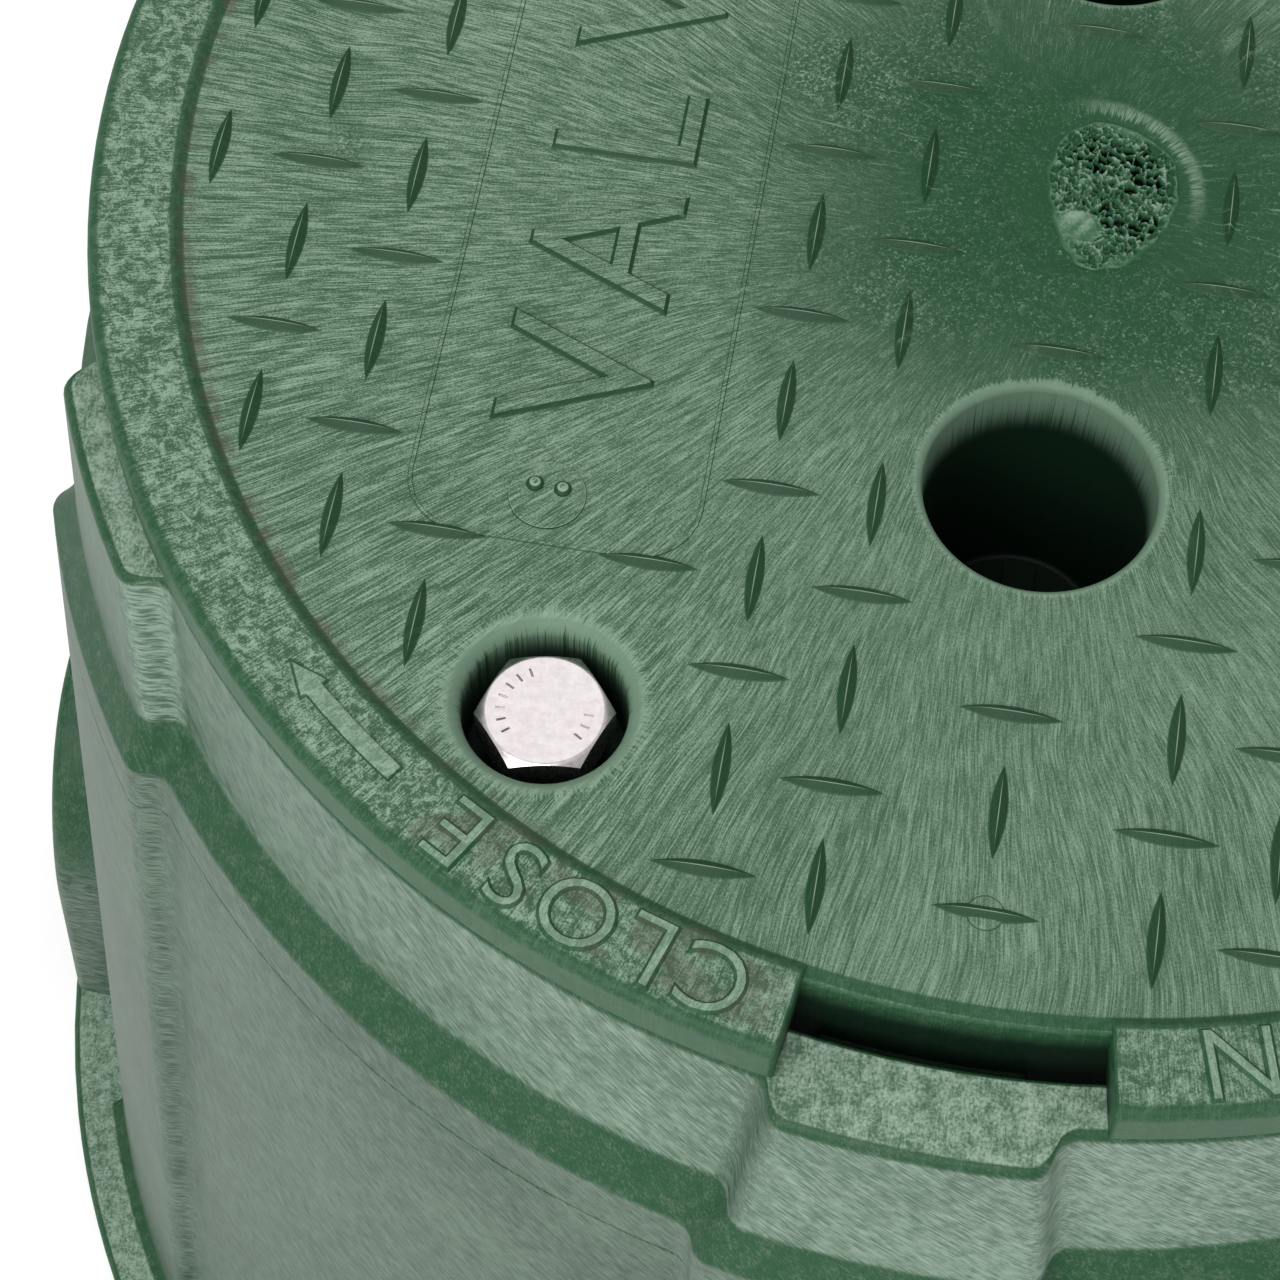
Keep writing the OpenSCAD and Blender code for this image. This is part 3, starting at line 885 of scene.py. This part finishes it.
def lock_bolt():
    """Head, shank and a helical thread, with plain ticks where the real head is stamped."""
    head = rod("lock_bolt", HEAD_AF / math.sqrt(3), HEAD_H, (0, 0, -HEAD_H), 6)
    turn(head, HEAD_TURN)
    cone = rod("cone", HEAD_CONE[0], HEAD_H + 1, (0, 0, -HEAD_H - 0.5), 96, top_radius=HEAD_CONE[1])
    combined(head, "INTERSECT", cone)
    with Editing(head, "EDGE") as edit:
        edit.pick(lambda p: p.z > -0.01)
        round_edges(0.14, 2)
    for first, count in TICK_RUNS:
        for k in range(count):
            tick = block("tick", TICK_SIZE, (TICK_R, 0, 0))
            combined(head, "DIFFERENCE", turn(tick, first + TICK_STEP * k))
    under = -HEAD_H - BOLT_LEN
    shank = rod("shank", BOLT_R - 0.95, BOLT_LEN + 1.5, (0, 0, under), 40)
    collar = rod("collar", BOLT_R, 7.0, (0, 0, -HEAD_H - 6.0), 40)
    bolt = joined("lock_bolt", [head, shank, collar, thread(under + 0.6, -HEAD_H - 5.4)])
    return shift(bolt, BOLT_X, BOLT_Y, HEAD_TOP)


def thread(low, high):
    """A closed ridge wound round the shank."""
    turns = int((high - low) / THREAD_PITCH)
    half = THREAD_PITCH * 0.47
    crest, root = BOLT_R, BOLT_R - THREAD_DEPTH
    ridge = outline("thread", [(root, 0, low), (crest, 0, low + half * 0.88), (crest, 0, low + half * 1.12),
                               (root, 0, low + 2 * half)], filled=True)
    with Editing(ridge, whole=True):
        bpy.ops.mesh.delete(type="ONLY_FACE")
    modified(ridge, "SCREW", angle=2 * math.pi, screw_offset=THREAD_PITCH * MM, iterations=turns, steps=28,
             render_steps=28, use_merge_vertices=False)
    with Editing(ridge, "VERT"):
        bpy.ops.mesh.select_non_manifold(extend=False, use_wire=False, use_boundary=True,
                                         use_multi_face=False, use_non_contiguous=False, use_verts=False)
        bpy.ops.mesh.fill()
    return welded(ridge)


# Materials


class Shade:
    """A node's output, so that shader maths reads as ordinary expressions."""

    def __init__(self, tree, socket):
        self.tree = tree
        self.socket = socket

    def make(self, kind, inputs, output=0, **settings):
        """One more node in the tree, with values or other outputs put into its inputs."""
        node = self.tree.nodes.new("ShaderNode" + kind)
        for name, value in settings.items():
            setattr(node, name, value)
        for name, value in inputs.items():
            if isinstance(value, Shade):
                self.tree.links.new(value.socket, node.inputs[name])
            else:
                node.inputs[name].default_value = value
        return Shade(self.tree, node.outputs[output])

    def maths(self, operation, *values):
        return self.make("Math", dict(enumerate(values)), operation=operation)

    def __add__(self, other):
        return self.maths("ADD", self, other)

    __radd__ = __add__

    def __sub__(self, other):
        return self.maths("SUBTRACT", self, other)

    def __rsub__(self, other):
        return self.maths("SUBTRACT", other, self)

    def __mul__(self, other):
        return self.maths("MULTIPLY", self, other)

    __rmul__ = __mul__

    def __truediv__(self, other):
        return self.maths("DIVIDE", self, other)

    def parts(self):
        return [self.make("SeparateXYZ", {"Vector": self}, axis) for axis in ("X", "Y", "Z")]

    def scaled(self, x, y, z):
        return self.make("VectorMath", {0: self, 1: (x, y, z)}, operation="MULTIPLY")

    def passing(self, low, high):
        """0 to 1 as the value passes from low to high, eased at both ends."""
        return self.make("MapRange", {"Value": self, "From Min": low, "From Max": high},
                         interpolation_type="SMOOTHSTEP")

    def blend(self, first, second):
        """First where this is 0, second where it is 1: colours, given as linear RGB or as outputs."""
        first, second = ((*c, 1.0) if isinstance(c, tuple) else c for c in (first, second))
        return self.make("Mix", {0: self, 6: first, 7: second}, 2, data_type="RGBA")

    def choose(self, first, second):
        """The same for plain numbers."""
        return self.make("Mix", {0: self, 2: first, 3: second}, 0, data_type="FLOAT")

    def noise(self, scale, detail=2.0, roughness=0.5, distortion=0.0):
        return self.make("TexNoise", {"Vector": self, "Scale": scale, "Detail": detail,
                                      "Roughness": roughness, "Distortion": distortion})


def new_material(name):
    """A material, its surface node, and its places and normals in the piece's own frame, places in mm."""
    material = bpy.data.materials.new(name)
    material.use_nodes = True
    tree = material.node_tree
    frame_node = tree.nodes.new("ShaderNodeTexCoord")
    place = Shade(tree, frame_node.outputs["Object"]).scaled(1 / MM, 1 / MM, 1 / MM)
    normal = Shade(tree, frame_node.outputs["Normal"])
    return material, tree.nodes["Principled BSDF"], place, normal


def finish(surface, **inputs):
    """Puts values or outputs into the surface's inputs."""
    for name, value in inputs.items():
        socket = surface.inputs[name.replace("_", " ")]
        if isinstance(value, Shade):
            value.tree.links.new(value.socket, socket)
        else:
            socket.default_value = value


def bumped(height, depth, strength=1.0):
    """A normal from a height field that is depth mm high."""
    return height.make("Bump", {"Height": height, "Distance": depth * MM, "Strength": strength})


DEEP = (0.011, 0.073, 0.026)  # the plain green, where nothing has bloomed
DARK = (0.040, 0.106, 0.056)  # between the streaks
PALE = (0.268, 0.400, 0.296)  # the streaks
WORN_EDGE = (0.026, 0.082, 0.040)
# painted shade on the sloped sides of the bars and the panel's other raised detail, darker than their plain
# green
SHADED_BAR_SIDE = (0.006, 0.040, 0.014)
DIRT = (0.085, 0.072, 0.050)
INSIDE = (0.004, 0.016, 0.008)  # deep in the wells
LOW_WALL = ((0.020, 0.056, 0.029), (0.126, 0.192, 0.140))  # dark and pale of each part of the box
# painted light and shade: the neck's front pair is a lit copy of the wall's colours, its left pair a shaded
# copy
LIT_FRONT_NECK = ((0.056, 0.118, 0.072), (0.250, 0.350, 0.275))
SHADED_LEFT_NECK = ((0.028, 0.074, 0.040), (0.150, 0.228, 0.168))
TAB = ((0.060, 0.136, 0.076), (0.320, 0.445, 0.345))
LEDGE = (DEEP, (0.100, 0.160, 0.110))
SHADED_PORES = ((0.001, 0.005, 0.002), (0.030, 0.120, 0.052))
STRAND = (0.27, 0.40, 0.30)
STAINLESS = ((0.76, 0.69, 0.70), (0.90, 0.85, 0.85))
STAMPED = (0.10, 0.07, 0.07)


def ray_noise(x, y, reach, width, length):
    """Noise drawn out along the lines from a centre, with streaks of this size at the distance reach."""
    r = x.maths("SQRT", x * x + y * y + 0.01)
    around = reach / width
    along = r.maths("LOGARITHM", r, math.e) * (reach / length)
    rays = r.make("CombineXYZ", {"X": x / r * around, "Y": y / r * around, "Z": along})
    return rays.noise(1.0, 2.0, 0.65)


def distance(x, y, centre):
    """Distance in the plane from a centre."""
    dx, dy = x - centre[0], y - centre[1]
    return x.maths("SQRT", dx * dx + dy * dy)


def band(value, low, high, soft):
    """1 between two values, with soft ends."""
    return value.passing(low - soft, low) * (1 - value.passing(high, high + soft))


class CoverPlaces:
    """The places and masks that the layers of the cover's colour share."""

    def __init__(self, place, normal):
        self.place = place
        self.x, self.y, z = place.parts()
        self.above = z - PANEL_Z
        self.level = normal.parts()[2]
        self.flat = self.level.passing(0.84, 0.97)
        self.gate_x = self.x - GATE_X
        self.from_gate = distance(self.x, self.y, (GATE_X, 0))
        self.r = distance(self.x, self.y, (0, 0))
        self.on_ring = self.r.passing(112.9, 113.3)
        self.on_panel = 1 - self.r.passing(111.6, 112.0)
        self.raised = self.on_ring * self.above.passing(RING_RISE + 0.25, RING_RISE + 0.42) * self.flat
        self.speckle = place.noise(2.4, 4.0, 0.7, 0.8)


def bloomed(at):
    """The streaks over the deep green: their grain, how pale they are, and the colour."""
    sway = at.place.noise(0.03, 1.0, 0.5) * 12.0
    gx, gy = at.gate_x + sway, at.y + sway
    middle, far = (ray_noise(gx, gy, reach, 0.15, 4.2) for reach in (46.0, 88.0))
    streaks = at.from_gate.passing(56, 72).choose(middle, far)
    wide = ray_noise(gx, gy, 70.0, 0.55, 5.5)
    fuzz = at.place.noise(4.2, 4.0, 0.75)
    streaks = streaks * 0.42 + wide * 0.20 + fuzz * 0.38
    patches = at.place.noise(0.035, 2.0, 0.5)
    combed = (patches + at.from_gate.passing(20, 60) * 0.25).passing(0.48, 0.62)
    ring_blotch = at.place.noise(0.5, 3.0, 0.65, 1.2)
    ring_lines = ray_noise(at.x, at.y, 118.0, 0.2, 2.6)
    ring_grain = ring_blotch * 0.35 + ring_lines * 0.25 + fuzz * 0.40
    grain = at.on_ring.choose(combed.choose(at.speckle, streaks), ring_grain)
    bloom = at.from_gate.passing(6, 64) + (patches - 0.5) * 0.7
    vivid = (0.0 - at.x).passing(10, 70) + at.on_ring * 0.6
    pale = ((grain - 0.5) * (1.5 + vivid * 1.3) + bloom * 0.22).passing(0.04, 0.52)
    return grain, pale, pale.blend(bloom.passing(0.0, 0.8).blend(DEEP, DARK), PALE)


def edged(at, colour):
    """Plain green on the ring's edges, steep faces and bars, painted shade darker still on the sloped sides
    of the bars and the panel's other raised detail, and shade under the ring.
    """
    edges = band(at.r, 112.9, 114.0, 0.5) + at.r.passing(122.6, 123.6)
    edges = edges * (1 - at.above.passing(RING_RISE + 0.1, RING_RISE + 0.3)) + (1 - at.flat)
    smooth = at.speckle.passing(0.60, 0.85).blend(DEEP, WORN_EDGE)
    colour = edges.maths("MINIMUM", edges, 0.82).blend(colour, smooth)
    on_bar = (1 - at.level.passing(0.80, 0.93)) * at.above.passing(0.05, 0.2) * at.on_panel
    # painted shade: the sloped sides of the bars and other raised detail on the panel are darkened past the
    # plain green
    colour = (on_bar * 0.6).blend(colour, SHADED_BAR_SIDE)
    under = at.r.passing(113.6, 114.2) * (1 - at.r.passing(122.0, 122.5)) * (1 - at.above.passing(-5.0, -1.0))
    return (under * 0.94).blend(colour, INSIDE)


def crested(at, colour):
    """Pale rubbing on the ring's letters, and a painted highlight along the ridges of the bars."""
    colour = (at.raised * 0.40).blend(colour, PALE)
    # painted highlight: a pale line along each bar's ridge
    ridge = at.level.passing(0.84, 0.90) * (1 - at.level.passing(0.95, 0.985)) * at.above.passing(0.1, 0.3)
    return (ridge * at.on_panel * 0.9).blend(colour, PALE)


def gate_marked(at, colour):
    """The pale crescent at the dimple's rim, and the flecks that spread from it."""
    comb = ray_noise(at.gate_x, at.y, 14.0, 0.2, 2.6)
    towards = ((at.gate_x + at.y) / at.from_gate).passing(0.5, 1.35)
    crescent = band(at.from_gate + comb * 3.0, 14.6, 15.4, 0.8) * towards
    colour = (crescent * comb.passing(0.3, 0.7) * 0.75).blend(colour, PALE)
    scratches = ray_noise(at.gate_x + at.speckle * 5.0, at.y, 22.0, 0.3, 5.0).passing(0.60, 0.76)
    flecks = scratches * 0.6 + at.speckle.passing(0.60, 0.78) * 0.35
    return (flecks * band(at.from_gate, 15.0, 46.0, 10.0)).blend(colour, PALE)


def hollowed(at, colour):
    """Pale combed lips round the wells and the bolt's recess, and shade down in them."""
    well_y = at.y.maths("ABSOLUTE", at.y)
    from_well = distance(at.x, well_y, (0, WELL_Y))
    from_bolt = distance(at.x, at.y, (BOLT_X, BOLT_Y))
    rough_edge = ray_noise(at.x, well_y - WELL_Y, 14.0, 0.22, 3.0) - 0.5
    comb = ray_noise(at.x - BOLT_X, at.y - BOLT_Y, 10.0, 0.22, 3.0) - 0.5
    lip = band(from_well + rough_edge * 2.4, 13.9, 15.0, 0.6) + band(from_bolt + comb * 5.0, 9.8, 11.8, 0.7)
    colour = (lip * 0.5).blend(colour, PALE)
    inside = (1 - from_well.passing(13.6, 14.3)) * (1 - at.above.passing(-9, -1))
    inside = inside + (1 - from_bolt.passing(9.5, 10.2)) * (1 - (at.above + comb * 4.0).passing(-5.0, -0.6))
    return inside.blend(colour, INSIDE)


def dirtied(at, colour):
    """Dirt in the corner by the ring, and in the low places round the word on it."""
    off_corner = (at.r - 112.4).maths("ABSOLUTE", at.r - 112.4)
    corner = (1 - off_corner.passing(0.3, 1.5)) * (0.0 - at.x).passing(20, 90)
    dirt = corner * at.place.noise(0.3, 3.0, 0.6).passing(0.40, 0.58)
    word = band(at.x.maths("ARCTAN2", at.y, at.x), math.radians(-123.0), math.radians(-101.0), 0.03)
    low_spots = at.on_ring * (1 - at.raised) * at.above.passing(0.2, 0.6) * (1 - at.r.passing(121.5, 122.5))
    dirt = dirt + low_spots * word * at.place.noise(0.22, 2.0, 0.5).passing(0.46, 0.58) * 0.7
    return (dirt * 0.55).blend(colour, DIRT)


def cover_green():
    """Foamed plastic: pale streaks that run out from the gate, plain deep green on edges and bars, with
    painted shade on the bars' sides and a painted highlight along their ridges.
    """
    material, surface, place, normal = new_material("cover_foam_green")
    at = CoverPlaces(place, normal)
    grain, pale, colour = bloomed(at)
    for layer in (edged, crested, gate_marked, hollowed, dirtied):
        colour = layer(at, colour)
    finish(surface, Base_Color=colour, Roughness=pale * 0.12 + 0.44, Specular_IOR_Level=0.26,
           Normal=bumped(grain, 0.16, 0.6))
    return material


def box_green():
    """The box's walls: hair-fine slanted streaks; speckled deep green on the ledge and rounded edges; painted
    light and shade on the neck, lit at the front and shaded on the left.
    """
    material, surface, place, normal = new_material("box_foam_green")
    x, y, z = place.parts()
    nx, ny, nz = normal.parts()
    r = distance(x, y, (0, 0))
    slanted = place.make("VectorRotate", {"Vector": place, "Angle": z * 0.0085}, rotation_type="Z_AXIS")
    hairs = slanted.scaled(1, 1, 0.10).noise(3.6, 2.0, 0.65) * 0.7 + place.noise(0.5, 3.0, 0.7) * 0.3
    strokes = place.scaled(0.16, 0.16, 1.0).noise(2.2, 3.0, 0.6)
    fibres = place.scaled(1.0, 0.22, 1.0).noise(2.4, 3.0, 0.7, 1.0)
    speckle = place.noise(2.6, 3.0, 0.7) * 0.40 + fibres * 0.25 + place.noise(0.45, 3.0, 0.7) * 0.35
    patches = place.noise(0.03, 2.0, 0.5)
    outward = nx * x / r + ny * y / r
    flank = (1 - outward.passing(0.55, 0.92)) * (1 - nz.passing(0.2, 0.4))
    level = nz.passing(0.93, 0.99)
    grain = flank.choose(level.choose(hairs, speckle), strokes)
    edge = (nz + (speckle - 0.5) * 0.6).passing(0.08, 0.52) * (1 - level)
    pale = (grain * 1.5 + patches * 0.3).passing(0.72, 1.10)
    above_ledge = z.passing(PANEL_Z - 44, PANEL_Z - 34)
    # painted light and shade: the neck takes its shaded colours where it faces left, its lit colours
    # elsewhere
    neck = (0.0 - nx).passing(0.25, 0.8).blend(pale.blend(*LIT_FRONT_NECK), pale.blend(*SHADED_LEFT_NECK))
    wall = above_ledge.blend(pale.blend(*LOW_WALL), neck)
    tab = (speckle * 1.4 + patches * 0.15).passing(0.62, 0.94).blend(*TAB)
    wall = level.blend(wall, tab)
    band_colour = (speckle * 0.5 + hairs * 0.5).passing(0.46, 0.66).blend(*LEDGE)
    colour = edge.blend(wall, band_colour)
    finish(surface, Base_Color=colour, Roughness=(pale * 0.1 + 0.46), Specular_IOR_Level=0.3,
           Normal=bumped(grain, 0.12, 0.5))
    return material


def foam_green():
    """The torn foam: painted shade that darkens it with depth, down into its pores; pale along its strands.
    """
    material, surface, place, _ = new_material("torn_foam_green")
    z = place.parts()[2]
    height = z - (PANEL_Z - GATE_DEPTH)
    grain = place.noise(2.6, 3.0, 0.65)
    pale = (height + grain * 0.6 - 0.3).passing(0.34, 0.82)
    # painted shade: the foam goes nearly black towards the bottom of its pores
    colour = (pale * 0.75).blend(height.passing(-0.5, 0.3).blend(*SHADED_PORES), STRAND)
    finish(surface, Base_Color=colour, Roughness=0.42, Normal=bumped(grain, 0.06, 0.5))
    return material


def bolt_steel():
    """Bright turned steel, dark in the stamped ticks."""
    material, surface, place, normal = new_material("bolt_steel")
    z = place.parts()[2]
    grain = place.noise(1.1, 4.0, 0.65)
    stamped = normal.parts()[2].passing(0.8, 0.95) * (1 - z.passing(HEAD_TOP - 0.3, HEAD_TOP - 0.1))
    colour = (stamped * 0.85).blend(grain.passing(0.3, 0.7).blend(*STAINLESS), STAMPED)
    finish(surface, Base_Color=colour, Metallic=1.0, Roughness=grain * 0.16 + 0.20,
           Normal=bumped(grain, 0.01, 0.4))
    return material


def metal(name, colour, roughness, grain_scale):
    """A plain turned metal."""
    material, surface, place, _ = new_material(name)
    grain = place.noise(grain_scale, 4.0, 0.65)
    finish(surface, Base_Color=grain.passing(0.3, 0.7).blend(tuple(c * 0.86 for c in colour), colour),
           Metallic=1.0, Roughness=grain * 0.16 + roughness, Normal=bumped(grain, 0.01, 0.4))
    return material


def put(piece, material, slot_name, body, *nodes):
    """A finished piece of the scene: its material, what it rides and what it stands for."""
    smoothed(piece)
    piece.data.materials.clear()
    piece.data.materials.append(material)
    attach(piece, body)
    if nodes:
        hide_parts(*nodes)


# Camera, light and floor

CAMERA_LENS = 92.3
CAMERA_PLACE = Vector((-15.61, -257.34, 333.0 + PANEL_Z)) * MM
CAMERA_RIGHT = Vector((0.9857, 0.1683, 0.0097))
CAMERA_DOWN = Vector((0.1516, -0.8604, -0.4865))
CAMERA_AHEAD = Vector((-0.0735, 0.481, -0.8736))
ROOM_WHITE = (1.0, 0.99, 0.99, 1)
ROOM_LIGHT = 0.56
PAPER_WHITE = (0.97, 0.97, 0.97, 1)
PAPER_GLOW = 0.22


def photo_camera():
    """The camera that the photograph's tread bars were fitted with."""
    scene = bpy.context.scene
    lens = bpy.data.cameras.new("photo_camera")
    camera = bpy.data.objects.new("photo_camera", lens)
    scene.collection.objects.link(camera)
    lens.lens = CAMERA_LENS
    lens.sensor_width = 36
    lens.sensor_fit = "HORIZONTAL"
    lens.clip_start = 0.01
    axes = Matrix((CAMERA_RIGHT, -CAMERA_DOWN, -CAMERA_AHEAD)).transposed().to_4x4()
    camera.matrix_world = Matrix.Translation(CAMERA_PLACE) @ axes
    scene.camera = camera


def white_room():
    """Even white light from all round."""
    world = bpy.data.worlds.new("soft_room")
    bpy.context.scene.world = world
    world.use_nodes = True
    finish(world.node_tree.nodes["Background"], Color=ROOM_WHITE, Strength=ROOM_LIGHT)


def paper_floor():
    """A pale sheet under the object, which keeps its shadow."""
    bpy.ops.object.select_all(action="DESELECT")
    bpy.ops.mesh.primitive_plane_add(size=4, location=(0, 0, 0))
    floor = added("floor")
    paper = bpy.data.materials.new("paper")
    paper.use_nodes = True
    finish(paper.node_tree.nodes["Principled BSDF"], Base_Color=PAPER_WHITE, Roughness=0.9,
           Emission_Color=(1, 1, 1, 1), Emission_Strength=PAPER_GLOW)
    floor.data.materials.append(paper)


def softbox(place, aim, size, energy):
    """A square lamp, aimed at a point."""
    bpy.ops.object.light_add(type="AREA", location=place)
    lamp = bpy.context.object
    lamp.data.size = size
    lamp.data.energy = energy
    lamp.rotation_euler = (Vector(aim) - Vector(place)).to_track_quat("-Z", "Y").to_euler()


photo_camera()
bpy.context.scene.view_settings.view_transform = "Standard"
white_room()
paper_floor()
softbox(place=(-0.34, -1.04, 1.3), aim=(0, 0, 0.2), size=0.9, energy=14)
softbox(place=(-0.25, 0.62, 1.62), aim=(-0.05, -0.08, 0.25), size=1.1, energy=2.0)

green = cover_green()
steel = metal("ring_steel", (0.80, 0.76, 0.76), 0.24, 1.2)
put(box_shell(), box_green(), "green_plastic", "box",
    "box_body", "pipe_hood_right", "pipe_hood_left", "lock_shelf")
put(cover(), green, "green_plastic", "cover", "cover")
put(gate_foam(), foam_green(), "green_plastic", "cover")
put(lock_bolt(), bolt_steel(), "steel", "bolt", "lock_bolt")
brass = metal("brass", (0.72, 0.52, 0.24), 0.28, 1.5)
for node, material in (("thread_insert", brass), ("retaining_ring", steel)):
    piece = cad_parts[node]
    piece.data.materials.clear()
    piece.data.materials.append(material)
